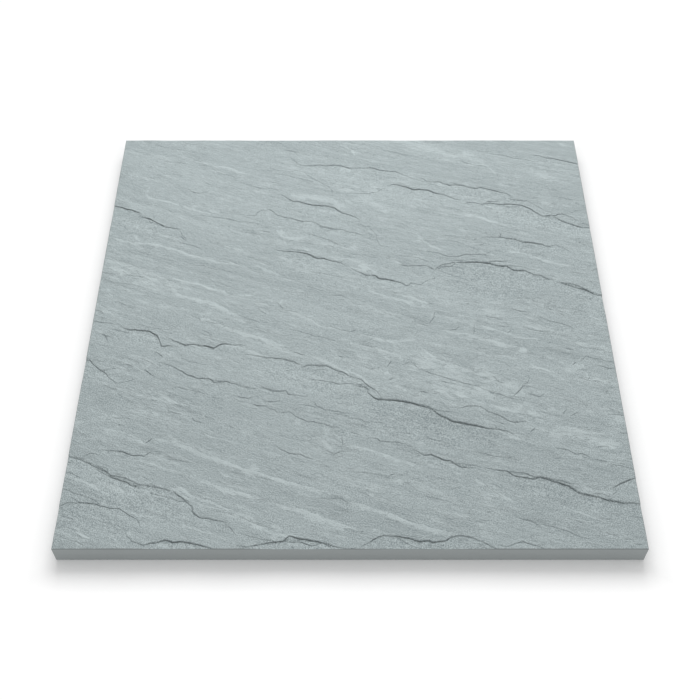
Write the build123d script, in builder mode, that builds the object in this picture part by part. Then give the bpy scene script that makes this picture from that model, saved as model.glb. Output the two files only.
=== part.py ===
from build123d import *

import math
import os
from typing import NamedTuple

# Square sandstone paving slab: sawn edges and bed, and a riven (split) upper face.
#
# Millimetres. The origin is the middle of the bed, +Z is up, and -Y is the edge nearest the viewer.
# The slab is one piece of stone. Splitting it along its bedding left shallow flake scars in the
# upper face: each has a ragged ledge along its back, and a floor that rises again to the front.

# Driving dimensions
slab_length = 600.0  # along X
slab_width = 600.0  # along Y
slab_thickness = 25.0  # from the bed to the highest part of the riven face
arris = 0.6  # the saw-cut corners are rubbed down by this much

# A flake's cutter, beyond the scar that it leaves
clearance = 4.0  # how far it stands above the upper face
past_the_rim = 1.2  # its dish is part of a saucer this much larger than the scar
past_the_reach = 3.0  # its plan outline runs this many reaches forward of the ledge


class FlakeScar(NamedTuple):
    """One flake lost from the upper face. Points of a ledge run from left to right, in plan."""

    name: str
    drop: float  # deepest height of the ledge
    reach: float  # how far the scar runs forward of the ledge's ends
    ledge: list  # (x, y) corners of the broken line; past the slab where the scar runs off it


flake_scars = [
    FlakeScar("rear", 0.7, 34, [
        (-78, 267), (-68, 253), (-62, 251), (-17, 253), (0, 247), (27, 248), (40, 243), (60, 240),
        (84, 228),
    ]),
    FlakeScar("rear_right", 0.9, 24, [
        (90, 229), (97, 227), (100, 223), (117, 222), (128, 216), (138, 218), (162, 210),
        (168, 212), (202, 200), (206, 193), (215, 189), (227, 188), (240, 176),
    ]),
    FlakeScar("rear_right_corner", 0.6, 24, [
        (232, 272), (250, 271), (265, 265), (280, 262), (340, 238),
    ]),
    FlakeScar("upper_right", 1.0, 24, [
        (46, 211), (51, 216), (56, 217), (83, 208), (100, 207), (113, 200), (120, 200), (135, 191),
        (148, 187),
    ]),
    FlakeScar("upper_right_end", 1.2, 28, [
        (144, 182), (150, 185), (157, 185), (167, 182), (180, 184), (220, 180), (242, 162),
        (255, 160), (285, 143), (335, 134),
    ]),
    FlakeScar("upper_middle", 0.8, 26, [
        (-97, 198), (-88, 198), (-73, 187), (-67, 187), (-48, 180), (-28, 178), (-20, 175),
        (-10, 166), (7, 158), (15, 150),
    ]),
    FlakeScar("upper_left", 1.2, 30, [
        (-345, 196), (-267, 167), (-265, 161), (-252, 156), (-245, 148), (-213, 138), (-207, 122),
        (-202, 119),
    ]),
    FlakeScar("left_middle", 0.6, 22, [
        (-130, 161), (-119, 162), (-117, 167), (-112, 171), (-101, 171), (-92, 162), (-60, 152),
        (-50, 152), (-43, 149), (-36, 142), (-18, 140), (15, 127),
    ]),
    FlakeScar("centre_left", 1.0, 26, [
        (-93, 105), (-88, 102), (-53, 98), (-43, 92), (-33, 90), (-8, 82), (0, 75),
    ]),
    FlakeScar("centre", 1.1, 26, [
        (0, 74), (17, 64), (25, 64), (34, 58), (60, 52), (67, 47), (71, 47), (73, 50), (78, 47),
        (84, 47), (98, 57),
    ]),
    FlakeScar("right_upper", 1.0, 22, [
        (161, 122), (165, 125), (185, 126), (209, 120), (218, 116), (233, 114), (246, 109),
        (249, 111), (258, 110), (271, 100),
    ]),
    FlakeScar("right", 1.6, 36, [
        (99, 64), (102, 71), (113, 80), (140, 84), (163, 84), (175, 81), (180, 78), (190, 78),
        (199, 71), (212, 70), (222, 64), (228, 63), (238, 56), (247, 55),
    ]),
    FlakeScar("right_corner", 1.5, 28, [
        (240, 56), (280, 41), (292, 34), (350, 9),
    ]),
    FlakeScar("left_rear", 1.0, 24, [
        (-272, -14), (-258, -20), (-232, -23), (-224, -29), (-216, -44), (-190, -46),
    ]),
    FlakeScar("left_front", 1.1, 24, [
        (-216, -28), (-210, -34), (-189, -43), (-185, -42), (-173, -42), (-156, -48), (-146, -41),
        (-132, -43), (-127, -42), (-118, -45),
    ]),
    FlakeScar("left_rim", 0.9, 24, [
        (-335, -52), (-295, -65), (-282, -78), (-278, -80), (-271, -89), (-259, -97),
    ]),
    FlakeScar("middle_left", 1.1, 32, [
        (-120, -56), (-98, -60), (-95, -62), (-88, -61), (-75, -63), (-63, -67), (-53, -74),
        (-47, -71), (-27, -72), (-7, -82), (0, -88), (18, -96), (30, -107), (35, -116),
    ]),
    FlakeScar("middle", 1.6, 50, [
        (-17, -95), (-10, -98), (0, -96), (12, -98), (20, -104), (20, -110), (27, -116), (32, -118),
        (37, -117), (58, -120), (87, -128), (98, -138), (110, -146), (167, -159), (180, -166),
    ]),
    FlakeScar("lower_middle", 0.8, 24, [
        (-217, -68), (-203, -72), (-181, -86), (-170, -90), (-162, -90), (-152, -94), (-138, -94),
        (-106, -104), (-98, -102), (-85, -106), (-70, -108), (-69, -111), (-47, -114),
    ]),
    FlakeScar("lower_right", 0.7, 20, [
        (67, -182), (80, -190), (87, -189), (100, -196), (107, -198), (118, -205), (132, -206),
    ]),
    FlakeScar("lower_right_end", 1.4, 34, [
        (138, -204), (165, -210), (177, -216), (190, -219), (200, -216), (230, -228), (241, -238),
        (258, -240), (273, -246), (345, -254),
    ]),
    FlakeScar("right_rim", 0.7, 18, [
        (270, -232), (292, -220), (332, -212),
    ]),
    FlakeScar("lower_left", 1.4, 36, [
        (-340, -178), (-282, -196), (-258, -209), (-254, -214), (-243, -220), (-236, -222),
        (-228, -226), (-215, -230), (-210, -226), (-203, -228), (-183, -235), (-167, -246),
        (-163, -252), (-162, -256), (-155, -264), (-152, -263), (-126, -270), (-116, -284),
    ]),
    FlakeScar("lower_left_rear", 0.6, 16, [
        (-270, -188), (-261, -182), (-250, -186), (-242, -186), (-232, -190), (-219, -192),
        (-213, -188),
    ]),
    FlakeScar("front_left_corner", 1.0, 26, [
        (-335, -254), (-300, -251), (-291, -248), (-275, -247), (-248, -254), (-237, -254),
        (-217, -268), (-213, -276),
    ]),
    FlakeScar("front_left", 1.0, 24, [
        (-227, -281), (-225, -286), (-215, -294), (-208, -296), (-187, -289), (-179, -292),
        (-170, -292), (-155, -294), (-120, -306),
    ]),
    FlakeScar("front_middle", 1.5, 26, [
        (-118, -302), (-110, -298), (-100, -298), (-92, -294), (-68, -291), (-58, -287),
        (-27, -292), (4, -303),
    ]),
    FlakeScar("front_right", 1.2, 26, [
        (5, -300), (17, -295), (23, -289), (33, -286), (45, -286), (65, -288), (70, -291),
        (80, -290), (83, -292), (97, -290), (102, -286), (113, -284), (125, -286), (158, -306),
    ]),
]


def flake_cutter(scar):
    """The stone that was lost with one flake: a shallow dish, kept only in front of its ledge."""
    first, last = Vector(*scar.ledge[0]), Vector(*scar.ledge[-1])
    half_run = (last - first).length / 2
    along = (last - first).normalized()
    forward = Vector(along.Y, -along.X)
    up = Vector(0, 0, 1)

    # The dish's floor is a saucer of two large radii, one along the ledge and one across it.
    # Both are carried on past the rim, where the floor stands above the upper face.
    run_radius = (half_run**2 + scar.drop**2) / (2 * scar.drop)
    pivot = (first + last) * 0.5 + up * (slab_thickness + run_radius - scar.drop)
    swing = math.asin(past_the_rim * half_run / run_radius)
    inward = up * math.cos(swing) + along * math.sin(swing)
    start = Plane(origin=pivot - inward * run_radius, x_dir=forward, z_dir=forward.cross(inward))
    half_width = past_the_rim * scar.reach
    rise = scar.drop * past_the_rim**2

    with BuildPart() as cutter:
        with BuildSketch(start):
            with BuildLine():
                ThreePointArc((-half_width, rise), (0, 0), (half_width, rise))
                Polyline(
                    (half_width, rise),
                    (half_width, rise + clearance),
                    (-half_width, rise + clearance),
                    (-half_width, rise),
                )
            make_face()
        revolve(axis=Axis(pivot, forward), revolution_arc=math.degrees(2 * swing))

        # Only the ground in front of the broken line came away
        with BuildSketch(Plane.XY.offset(slab_thickness - scar.drop - clearance)):
            ahead = forward * past_the_reach * scar.reach
            near_last = last + along * scar.reach + ahead
            near_first = first - along * scar.reach + ahead
            with BuildLine():
                Polyline(
                    *scar.ledge,
                    (near_last.X, near_last.Y),
                    (near_first.X, near_first.Y),
                    close=True,
                )
            make_face()
        extrude(amount=scar.drop + 3 * clearance, mode=Mode.INTERSECT)
    return cutter.part


cutters = [flake_cutter(scar) for scar in flake_scars]

with BuildPart() as paving_slab:
    # The sawn block: four square edges and a flat bed
    with BuildSketch():
        Rectangle(slab_length, slab_width)
    extrude(amount=slab_thickness)
    chamfer(paving_slab.edges().filter_by(Axis.Z, reverse=True), arris)

    # The riven face
    for cutter in cutters:
        add(cutter, mode=Mode.SUBTRACT)

paving_slab.part.label = "paving_slab"

os.makedirs("parts", exist_ok=True)
export_step(paving_slab.part, "parts/paving_slab.step")

print(f"{len(flake_scars)} flake scars, volume {paving_slab.part.volume / 1e6:.3f} litres")
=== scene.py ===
import math

import bmesh
import bpy
import numpy as np
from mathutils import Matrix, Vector, bvhtree, noise


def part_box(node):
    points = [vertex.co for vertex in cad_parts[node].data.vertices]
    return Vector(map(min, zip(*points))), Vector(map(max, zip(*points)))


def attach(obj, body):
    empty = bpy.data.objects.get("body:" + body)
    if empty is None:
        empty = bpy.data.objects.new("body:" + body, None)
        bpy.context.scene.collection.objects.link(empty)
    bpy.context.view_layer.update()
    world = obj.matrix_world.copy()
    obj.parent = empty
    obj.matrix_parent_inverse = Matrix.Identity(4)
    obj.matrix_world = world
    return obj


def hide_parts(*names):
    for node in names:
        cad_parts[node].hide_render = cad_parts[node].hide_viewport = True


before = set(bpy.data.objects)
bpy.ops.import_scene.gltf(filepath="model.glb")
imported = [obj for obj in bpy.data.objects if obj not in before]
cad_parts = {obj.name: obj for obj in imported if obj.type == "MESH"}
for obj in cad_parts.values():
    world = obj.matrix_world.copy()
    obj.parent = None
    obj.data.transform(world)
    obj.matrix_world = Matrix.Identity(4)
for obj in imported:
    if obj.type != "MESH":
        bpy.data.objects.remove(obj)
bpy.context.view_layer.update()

# The camera
# It stands in front of the slab, a metre above the floor, and looks down on it. Its place and its
# lens follow from the photograph's four face corners, which are 600 mm apart on the real slab.
camera = bpy.data.objects.new("camera", bpy.data.cameras.new("camera"))
camera.data.sensor_width = 36.0
camera.data.lens = 54.77
camera.location = (0.0, -0.7787, 1.0009)
camera_pitch = math.radians(53.286)  # below the horizon
camera.rotation_euler = (math.pi / 2 - camera_pitch, 0.0, 0.0)
bpy.context.scene.collection.objects.link(camera)
bpy.context.scene.camera = camera
bpy.context.scene.view_settings.view_transform = "Standard"


# The studio
# A white floor under a pale dome, with one wide soft lamp high behind the slab, so that each ledge
# facing the camera is in shade. The slab's soft shadow falls in front of it.
mm = 0.001


class Signal:
    """A shader value. Arithmetic on it adds Math nodes, and node() adds any other node."""

    def __init__(self, tree, socket=None):
        self.tree = tree
        self.socket = socket

    def node(self, kind, settings=None, inputs=None, output=0):
        """Adds a node with its settings, then its inputs: values, or signals to link."""
        made = self.tree.nodes.new(kind)
        for name, value in (settings or {}).items():
            setattr(made, name, value)
        for name, value in (inputs or {}).items():
            if isinstance(value, Signal):
                self.tree.links.new(value.socket, made.inputs[name])
            else:
                made.inputs[name].default_value = value
        return Signal(self.tree, made.outputs[output] if made.outputs else None)

    def maths(self, operation, *values):
        return self.node("ShaderNodeMath", {"operation": operation}, dict(enumerate(values)))

    def __add__(self, other):
        return self.maths("ADD", self, other)

    def __sub__(self, other):
        return self.maths("SUBTRACT", self, other)

    def __rsub__(self, other):
        return self.maths("SUBTRACT", other, self)

    def __mul__(self, other):
        return self.maths("MULTIPLY", self, other)

    def __truediv__(self, other):
        return self.maths("DIVIDE", self, other)

    def __rtruediv__(self, other):
        return self.maths("DIVIDE", other, self)

    def __pow__(self, other):
        return self.maths("POWER", self, other)

    __radd__ = __add__
    __rmul__ = __mul__

    def clamped(self):
        return self.node("ShaderNodeClamp", {}, {"Value": self})


def new_material(name):
    """An empty material and the signal that starts its nodes."""
    material = bpy.data.materials.new(name)
    material.use_nodes = True
    material.node_tree.nodes.clear()
    return material, Signal(material.node_tree)


def new_object(name, bm, *materials):
    """A finished bmesh as an object at the origin, in the scene's frame."""
    mesh = bpy.data.meshes.new(name)
    bm.to_mesh(mesh)
    bm.free()
    for material in materials:
        mesh.materials.append(material)
    made = bpy.data.objects.new(name, mesh)
    bpy.context.scene.collection.objects.link(made)
    return made


def place_of(tree):
    """The three coordinates of the shaded point, in metres."""
    place = tree.node("ShaderNodeTexCoord", {}, {}, "Object")
    split = tree.node("ShaderNodeSeparateXYZ", {}, {"Vector": place})
    return [Signal(tree.tree, split.socket.node.outputs[axis]) for axis in "XYZ"]


# The floor is whiter towards the front, where the lamp is weaker, and it glows away from the slab
floor_white, tree = new_material("floor_white")
px, py, pz = place_of(tree)
rays = tree.node("ShaderNodeLightPath")
seen = rays.maths("MAXIMUM", rays, Signal(tree.tree, rays.socket.node.outputs["Is Glossy Ray"]))
white = 0.92 - 0.28 * py
white = white.maths("MINIMUM", white.maths("MAXIMUM", white, 0.7), 0.98)
shadow_rim = 302 * mm  # just outside the slab, where the shadow is deepest
outside = px.maths("MAXIMUM", px.maths("ABSOLUTE", px), py.maths("ABSOLUTE", py)) - shadow_rim
lift = outside.maths("MAXIMUM", outside, 0.0) * 4.5
lift = 0.02 + lift.maths("MINIMUM", lift, 0.16)
paint = tree.node(
    "ShaderNodeBsdfPrincipled",
    {},
    {"Base Color": white, "Emission Color": seen * lift, "Emission Strength": 1.0,
     "Roughness": 1.0, "Specular IOR Level": 0.0},
)
tree.node("ShaderNodeOutputMaterial", {}, {"Surface": paint})

bm = bmesh.new()
bmesh.ops.create_grid(bm, x_segments=1, y_segments=1, size=6.0)
new_object("studio_floor", bm, floor_white)

world = bpy.data.worlds.new("studio_dome")
world.use_nodes = True
world.node_tree.nodes["Background"].inputs["Color"].default_value = (1.0, 1.0, 1.0, 1.0)
world.node_tree.nodes["Background"].inputs["Strength"].default_value = 0.60
bpy.context.scene.world = world

back_lamp = bpy.data.objects.new("back_lamp", bpy.data.lights.new("back_lamp", "AREA"))
back_lamp.data.size = 1.15
back_lamp.data.energy = 17.4
lamp_height = math.radians(54)  # above the horizon, as seen from the middle of the slab
lamp_away = 1.7  # near enough to be weaker at the slab's front than at its back
back_lamp.location = (0.0, lamp_away * math.cos(lamp_height), lamp_away * math.sin(lamp_height))
back_lamp.rotation_euler = (lamp_height - math.pi / 2, 0.0, 0.0)
bpy.context.scene.collection.objects.link(back_lamp)


# The paving slab
# One piece of fine blue-grey sandstone, sawn square with a flat bed. Its upper face is riven: split
# along the bedding, so that thin layers end in small ledges. It lies loose, and nothing is fixed.
cad_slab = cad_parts["paving_slab"]
slab_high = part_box("paving_slab")[1]
half_side = slab_high.x
arris = 0.6 * mm  # the sawn corners are rubbed down by this much
cell = 3.6 * mm  # of the face's mesh, before it is divided near the ledges


class Trace:
    """A line on the riven face: its strength, its points from left to right in mm, and its width.
    Several strengths are spread evenly along it."""

    def __init__(self, strength, points, width=1.2):
        self.strength = np.atleast_1d(strength)
        self.width = width * mm
        self.line = np.array(points, float) * mm

    def near(self, x, y, reach):
        """The points within reach of the line: their indices, how far each is in front of the line,
        how far along it from 0 to 1, and the line's strength there."""
        low, high = self.line.min(0) - reach, self.line.max(0) + reach
        which = np.nonzero((x > low[0]) & (x < high[0]) & (y > low[1]) & (y < high[1]))[0]
        place = np.stack([x[which], y[which]], 1)
        best = np.full(len(place), 1e9)
        ahead, run = np.zeros(len(place)), np.zeros(len(place))
        lengths = np.linalg.norm(np.diff(self.line, axis=0), axis=1)
        so_far = np.concatenate([[0.0], np.cumsum(lengths)]) / lengths.sum()
        for i, (start, end) in enumerate(zip(self.line[:-1], self.line[1:])):
            along = (end - start) / lengths[i]
            share = ((place - start) @ along / lengths[i]).clip(0, 1)
            off = place - start - share[:, None] * (end - start)
            distance = np.linalg.norm(off, axis=1)
            side = off[:, 0] * along[1] - off[:, 1] * along[0]
            closer = distance < best
            best[closer] = distance[closer]
            ahead[closer] = np.copysign(distance, side)[closer]
            run[closer] = (so_far[i] + share * (so_far[i + 1] - so_far[i]))[closer]
        strength = np.interp(run, np.linspace(0, 1, len(self.strength)), self.strength)
        close = best < reach
        return which[close], ahead[close], run[close], strength[close]


# The ledges
# Each is where a layer broke off in front of the line. Strength is how deep its step and cleft are, and
# how dark the shade painted at its foot is: 1 is a deep open cleft, and 0.4 a hairline.
ledges = [Trace(*row) for row in (
    # From the back edge to the rear third
    (1.0, [(-300, 179), (-285, 174), (-273, 170), (-264, 165)]),
    (1.0, [(-266, 160), (-252, 156), (-244, 150), (-232, 143), (-214, 138)]),
    (0.4, [(-212, 136), (-208, 127), (-203, 121)]), (0.8, [(-253, 153), (-250, 150), (-247, 151)]),
    (0.45, [(-210, 212), (-207, 207), (-200, 202), (-193, 201), (-187, 202), (-183, 204)]),
    (0.45, [(-192, 162), (-180, 160), (-162, 157), (-140, 151)]),
    (0.35, [(-197, 249), (-187, 246), (-177, 244), (-172, 238), (-153, 232), (-149, 228), (-147, 222)]),
    (0.4, [(-98, 298), (-93, 294), (-89, 291)]), (0.4, [(-92, 279), (-78, 280), (-73, 277), (-68, 270)]),
    (0.4, [(-78, 267), (-72, 260), (-68, 253), (-62, 251)]),
    (0.75, [(-64, 251), (-48, 251), (-43, 253), (-30, 252), (-17, 253), (-10, 251), (0, 247)]),
    (0.4, [(-73, 244), (-60, 239), (-50, 229), (-32, 216), (-27, 212), (-23, 205), (-22, 199)]),
    (0.35, [(-97, 238), (-77, 232), (-57, 225), (-47, 222)]),
    (0.35, [(-142, 220), (-130, 215), (-110, 209), (-100, 209), (-88, 207)]),
    ((0.4, 0.7, 0.9, 0.8, 0.8, 0.5), [(-97, 198), (-88, 198), (-80, 192), (-73, 187), (-67, 187),
        (-48, 180), (-28, 178), (-20, 175), (-10, 166), (0, 162), (7, 158), (15, 152)]),
    (0.55, [(-130, 161), (-119, 162), (-117, 167), (-112, 171), (-101, 171), (-96, 167), (-92, 162),
        (-77, 157), (-60, 152), (-50, 152), (-43, 149), (-37, 142), (-28, 141), (-18, 140)]),
    ((0.75, 0.6, 0.3), [(-160, 157), (-152, 155), (-140, 151), (-120, 149), (-114, 147)]),
    ((0.65, 0.65, 0.45, 0.45), [(0, 247), (10, 247), (27, 248), (40, 243), (60, 240), (73, 233), (83, 227),
        (97, 222), (100, 219), (117, 214)]),
    (0.7, [(90, 229), (97, 227), (100, 222), (117, 222), (122, 218), (128, 216), (138, 217), (147, 216),
        (153, 212), (160, 210)]),
    (0.5, [(-5, 199), (0, 201), (24, 200), (27, 202), (35, 203), (42, 209), (49, 209)]),
    ((1.0, 0.9, 0.8, 0.4), [(48, 214), (56, 217), (70, 213), (83, 208), (100, 207), (113, 200), (120, 199),
        (135, 191), (148, 187)]), (0.6, [(145, 182), (151, 185), (160, 184)]),
    (0.35, [(50, 279), (58, 277), (67, 275)]), (0.45, [(67, 273), (72, 272), (77, 272)]),
    (0.7, [(117, 265), (119, 265)]), (0.4, [(74, 257), (76, 255)]),
    (0.45, [(12, 147), (18, 144), (26, 143)]),
    (0.5, [(189, 272), (202, 272), (213, 267), (228, 264), (242, 259), (248, 259)]),
    (0.65, [(240, 272), (250, 271), (258, 267), (273, 264), (287, 259), (299, 255)]),
    (0.45, [(140, 262), (148, 260), (165, 252), (178, 251)]),
    (0.6, [(140, 217), (155, 212), (162, 210), (168, 212), (177, 209), (202, 200), (207, 195)]),
    (0.7, [(202, 192), (207, 190), (223, 187), (227, 189)]),
    (0.45, [(227, 187), (240, 176), (245, 171), (260, 165)]),
    ((0.6, 1.0, 1.0, 0.8), [(144, 182), (157, 185), (167, 182), (180, 184), (188, 182), (207, 182),
        (220, 180), (231, 172), (235, 167), (247, 160)]), (0.6, [(167, 182), (177, 187), (190, 187)]),
    (0.7, [(195, 180), (202, 177), (215, 178)]),
    ((0.95, 0.95, 0.5), [(244, 161), (255, 162), (259, 161), (262, 164), (268, 164), (279, 159),
        (287, 152)]), ((0.7, 1.0), [(258, 159), (270, 151), (278, 146), (293, 141), (299, 141)]),
    (0.5, [(285, 147), (288, 149), (300, 145)]), (0.35, [(273, 165), (282, 167), (288, 171), (300, 172)]),
    (0.35, [(168, 280), (178, 278), (187, 279)]), (0.5, [(192, 236), (192, 232)]),
    # The rear third to the middle
    (0.6, [(-210, 125), (-207, 122), (-202, 119)]),
    (0.4, [(-222, 125), (-209, 115), (-193, 110), (-183, 105)]),
    (0.35, [(-200, 83), (-190, 77), (-180, 78), (-167, 72), (-163, 74)]),
    (0.4, [(-160, 73), (-150, 69), (-143, 67)]), (0.6, [(-221, 64), (-219, 64)]),
    (0.4, [(-163, 84), (-161, 84)]), (0.45, [(-155, 94), (-153, 94)]),
    (0.35, [(-275, 68), (-267, 62), (-250, 59)]), (0.35, [(-290, 52), (-270, 49), (-258, 46), (-240, 41)]),
    (0.65, [(-300, 8), (-292, 6), (-289, 2)]), (0.5, [(-293, -3), (-287, -4)]),
    (0.45, [(-185, 0), (-177, -4), (-174, -10)]), (0.4, [(-110, 136), (-100, 132)]),
    (0.65, [(-46, 150), (-40, 147), (-36, 142), (-27, 140), (-10, 137), (0, 133)]),
    (0.45, [(-52, 131), (-40, 126), (-23, 118), (-15, 112), (-3, 108)]),
    (0.4, [(-58, 115), (-50, 114), (-43, 112)]),
    ((0.7, 1.0, 0.9, 1.0, 1.0, 0.5), [(-93, 105), (-88, 102), (-68, 101), (-53, 98), (-47, 94), (-40, 90),
        (-33, 90), (-23, 86), (-12, 83), (-3, 77), (0, 75)]), (0.4, [(-75, 105), (-60, 103), (-47, 100)]),
    (0.5, [(-12, 83), (-7, 87), (-2, 87)]), (0.35, [(-70, 73), (-53, 69), (-33, 65), (-10, 59)]),
    (0.55, [(-23, 31), (-10, 31), (-3, 26)]), (0.5, [(-87, 20), (-82, 15), (-78, 10)]),
    (0.45, [(-108, 10), (-98, 2)]), (0.4, [(-58, 59), (-56, 59)]), (0.55, [(0, 134), (10, 130), (20, 128)]),
    (0.35, [(25, 140), (33, 129), (35, 117), (37, 110), (42, 110)]), (0.4, [(42, 110), (48, 107)]),
    (0.35, [(0, 96), (17, 95), (32, 90)]),
    ((0.5, 0.5, 0.75, 0.5), [(80, 103), (102, 100), (115, 95), (120, 92), (133, 93), (143, 96), (165, 95),
        (175, 101)]), (0.4, [(52, 95), (67, 93), (82, 91), (96, 84)]),
    (0.75, [(60, 79), (68, 77), (95, 78)]), (0.8, [(95, 75), (102, 72)]),
    ((0.7, 0.9, 1.0, 1.0, 0.8, 0.7, 0.7), [(100, 66), (105, 74), (113, 80), (125, 83), (140, 84), (153, 84),
        (170, 82), (180, 78), (190, 78), (199, 71), (212, 70), (222, 64), (228, 63), (238, 57), (247, 55)]),
    ((1.0, 0.8, 1.0), [(248, 52), (258, 49), (267, 45), (280, 41), (287, 37), (292, 33), (299, 31)]),
    (0.9, [(106, 72), (110, 75), (123, 78), (129, 82)]), (0.4, [(123, 86), (138, 87)]),
    (0.5, [(148, 88), (157, 88)]), (0.6, [(97, 56), (102, 57), (100, 60)]),
    ((0.6, 0.95, 0.95, 0.8, 0.55, 0.55), [(0, 74), (8, 69), (20, 63), (30, 62), (34, 58), (52, 54),
        (60, 51), (67, 47), (71, 47), (73, 50), (84, 47), (92, 53), (98, 57)]),
    (0.35, [(108, 70), (117, 66), (133, 59)]), (0.4, [(152, 67), (154, 67), (157, 64)]),
    (0.35, [(120, 120), (133, 116), (148, 109)]), (0.5, [(152, 118), (156, 122)]),
    (0.45, [(92, 17), (98, 18)]), (0.45, [(138, 18), (140, 18)]), (0.45, [(57, -3), (59, -3)]),
    (0.45, [(144, 138), (146, 138)]), (0.45, [(33, 2), (39, 2)]),
    (0.85, [(170, 85), (180, 85), (187, 85), (192, 85)]), (0.55, [(188, 78), (205, 77), (222, 71)]),
    (0.8, [(252, 50), (260, 50), (272, 47), (283, 40)]), (0.7, [(233, 56), (243, 57)]),
    ((0.8, 0.95, 0.75, 0.85, 0.85, 0.5), [(162, 123), (169, 125), (185, 125), (190, 124), (205, 121),
        (213, 117), (227, 115), (238, 113), (242, 110), (246, 109), (249, 111), (252, 111)]),
    (0.6, [(185, 125), (188, 130)]), (0.35, [(253, 111), (263, 107), (271, 100)]),
    (0.4, [(157, 111), (162, 111), (166, 115)]), (0.5, [(167, 132), (171, 132)]),
    (0.4, [(198, 132), (202, 132)]), (0.5, [(283, 114), (285, 116)]), (0.55, [(291, 83), (293, 83)]),
    (0.5, [(291, 69), (297, 72)]), (0.4, [(267, 67), (277, 66), (292, 62)]),
    (0.7, [(189, 10), (200, 7), (207, 6)]), (0.5, [(158, 0), (172, -4), (179, -6)]),
    (0.6, [(272, 16), (274, 16)]), (0.4, [(261, 2), (264, 6), (273, 7), (277, 5)]),
    # The middle to the front third
    ((1.0, 0.6, 0.35), [(-300, -8), (-285, -11), (-271, -13)]),
    ((0.7, 1.0, 1.0, 0.85, 0.75, 0.5), [(-268, -16), (-258, -20), (-248, -21), (-232, -23), (-224, -29),
        (-218, -39), (-216, -44), (-203, -44), (-190, -45)]),
    (0.6, [(-277, -20), (-260, -24), (-253, -25)]), (0.8, [(-286, -27), (-283, -29), (-279, -36)]),
    (0.5, [(-283, -30), (-275, -31)]),
    (0.35, [(-250, -10), (-238, -16), (-223, -19), (-210, -26), (-204, -27)]),
    ((0.55, 0.85, 1.0, 1.0, 1.0, 0.55, 0.55), [(-214, -30), (-205, -36), (-189, -43), (-180, -42),
        (-167, -44), (-156, -47), (-152, -44), (-146, -41), (-132, -43), (-127, -42), (-118, -45)]),
    (0.75, [(-222, -53), (-213, -60)]),
    ((1.0, 0.85, 0.5, 0.6), [(-300, -64), (-295, -65), (-291, -70), (-282, -78), (-275, -83), (-271, -89),
        (-259, -97)]), (0.45, [(-292, -64), (-278, -67)]), (0.4, [(-278, -78), (-264, -76), (-260, -76)]),
    (0.4, [(-260, -97), (-248, -94), (-242, -91)]), (0.65, [(-253, -71), (-245, -74)]),
    ((0.6, 0.75, 0.75, 0.45), [(-217, -68), (-203, -72), (-187, -82), (-181, -86), (-170, -90), (-157, -91),
        (-152, -95), (-138, -94), (-125, -99), (-107, -104)]),
    (0.7, [(-98, -102), (-85, -107), (-70, -107), (-69, -111), (-47, -115)]),
    (0.8, [(-232, -78), (-225, -84), (-220, -87)]), (0.35, [(-193, -62), (-183, -66), (-163, -72)]),
    (0.5, [(-200, -100), (-180, -105), (-162, -111)]), (0.5, [(-198, -103), (-196, -107)]),
    (0.4, [(-272, -100), (-260, -107)]), (0.5, [(-220, -117), (-217, -120), (-212, -120)]),
    (0.45, [(-197, -135), (-185, -138)]), (0.5, [(-193, -125), (-183, -129)]),
    (0.4, [(-260, -142), (-250, -144)]), (0.6, [(-252, -151), (-248, -153)]),
    ((0.5, 0.85), [(-172, -142), (-170, -146), (-161, -149)]), (0.5, [(-151, -10), (-149, -10)]),
    (0.6, [(-149, -17), (-145, -15)]), (0.45, [(-169, -8), (-155, -12)]),
    (0.45, [(-170, -22), (-160, -29)]),
    ((0.5, 0.7, 0.6, 0.7), [(-120, -56), (-98, -60), (-95, -62), (-88, -61), (-75, -63), (-63, -67),
        (-58, -70)]),
    ((0.7, 0.6, 0.75), [(-53, -73), (-47, -71), (-27, -72), (-20, -76), (-7, -82), (-2, -86)]),
    (0.7, [(-72, -78), (-68, -79)]), (0.6, [(-43, -78), (-27, -77)]),
    ((0.6, 0.6, 0.8, 1.0), [(-47, -90), (-28, -93), (-10, -97), (0, -96)]),
    ((0.7, 0.5, 0.45), [(-47, -118), (-40, -122), (-37, -127), (-27, -132), (-13, -134), (0, -137)]),
    (0.55, [(-53, -125), (-35, -129)]), (0.6, [(-29, -135), (-27, -135)]), (0.6, [(-17, -137), (-2, -140)]),
    (0.8, [(-124, -114), (-120, -116), (-114, -117), (-108, -115)]),
    (0.7, [(-96, -119), (-87, -122), (-77, -120)]), (0.85, [(-107, -125), (-103, -127), (-91, -127)]),
    ((0.75, 0.6, 0.75), [(-91, -129), (-83, -132), (-80, -136), (-66, -135), (-57, -142), (-47, -147),
        (-28, -150), (-20, -154), (-10, -156)]), (0.5, [(-132, -153), (-125, -156)]),
    (0.6, [(-65, -53), (-52, -57)]), (0.5, [(-74, -47), (-72, -47)]), (0.45, [(-13, -58), (-7, -62)]),
    (0.45, [(-32, -17), (-22, -17), (-7, -22), (0, -24)]),
    (0.4, [(-70, -20), (-50, -26), (-27, -34), (-13, -38)]), (0.4, [(-130, 0), (-105, -10)]),
    ((1.0, 0.8, 0.9, 1.0, 0.9, 0.85, 0.85), [(0, -97), (12, -98), (20, -104), (20, -110), (27, -116),
        (32, -118), (42, -118), (58, -120), (73, -124), (87, -129), (95, -132), (111, -135)]),
    ((0.5, 0.95, 0.6), [(0, -87), (13, -92), (21, -100), (30, -107), (35, -116)]),
    (0.9, [(8, -100), (17, -101)]),
    ((0.85, 1.0, 0.8, 0.6), [(91, -130), (98, -138), (110, -146), (130, -151), (147, -155), (167, -159),
        (180, -166)]), (0.5, [(83, -139), (91, -130)]),
    ((0.9, 0.5), [(120, -130), (130, -127), (144, -128), (152, -135)]),
    ((0.65, 0.8, 0.65, 0.8, 0.65), [(144, -127), (151, -135), (163, -139), (173, -147), (179, -149),
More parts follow.
